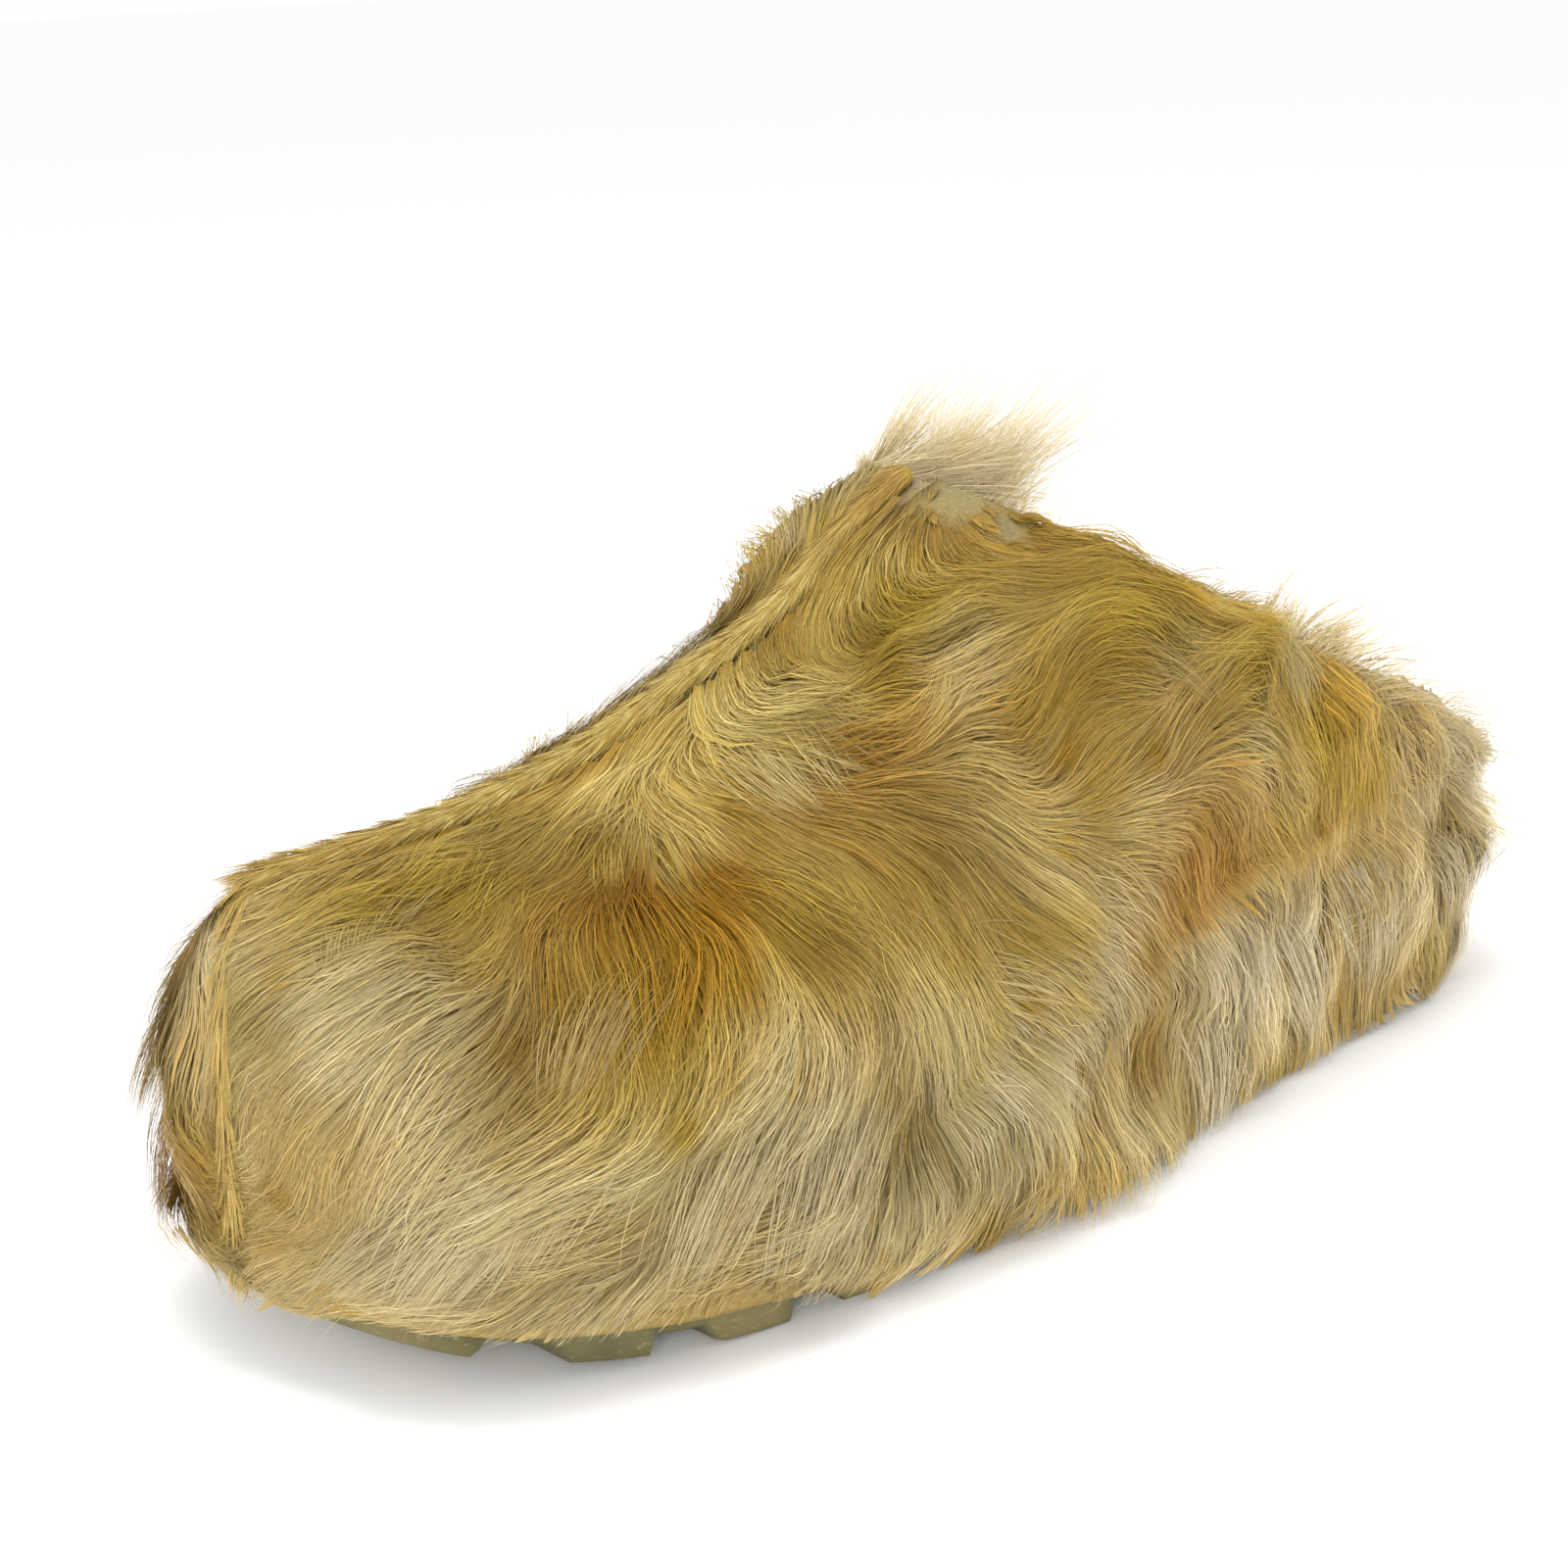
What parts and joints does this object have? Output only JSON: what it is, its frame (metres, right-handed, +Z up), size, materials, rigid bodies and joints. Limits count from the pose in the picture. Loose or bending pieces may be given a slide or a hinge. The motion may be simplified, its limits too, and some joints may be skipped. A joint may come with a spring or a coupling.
{
  "type": "fur mule",
  "caption": "Slip-on mule for the left foot with long combed fur over vamp and wrapped platform, a raised centre seam, an open low heel and a lugged rubber sole.",
  "frame": {"origin": "middle of the heel's flat spot on the floor", "axes": "+X towards the toe, +Y towards the outer (lateral) side of the left foot, +Z up"},
  "size_m": [0.2841, 0.1157, 0.1182],
  "materials": {
    "rubber": "matt olive rubber, scuffed",
    "platform": "wrapped platform",
    "leather": "worn leather sock",
    "hide": "suede side of a hair-on hide",
    "fur": "long combed straw-coloured hair",
    "seam_fur": "short tan hair"
  },
  "bodies": {
    "root": {"outsole": "rubber", "footbed": "platform", "insole": "leather", "upper": "hide", "vamp_fur_outer": "fur", "vamp_fur_inner": "fur", "footbed_fur": "fur", "centre_seam": "seam_fur"}
  },
  "joints": []
}
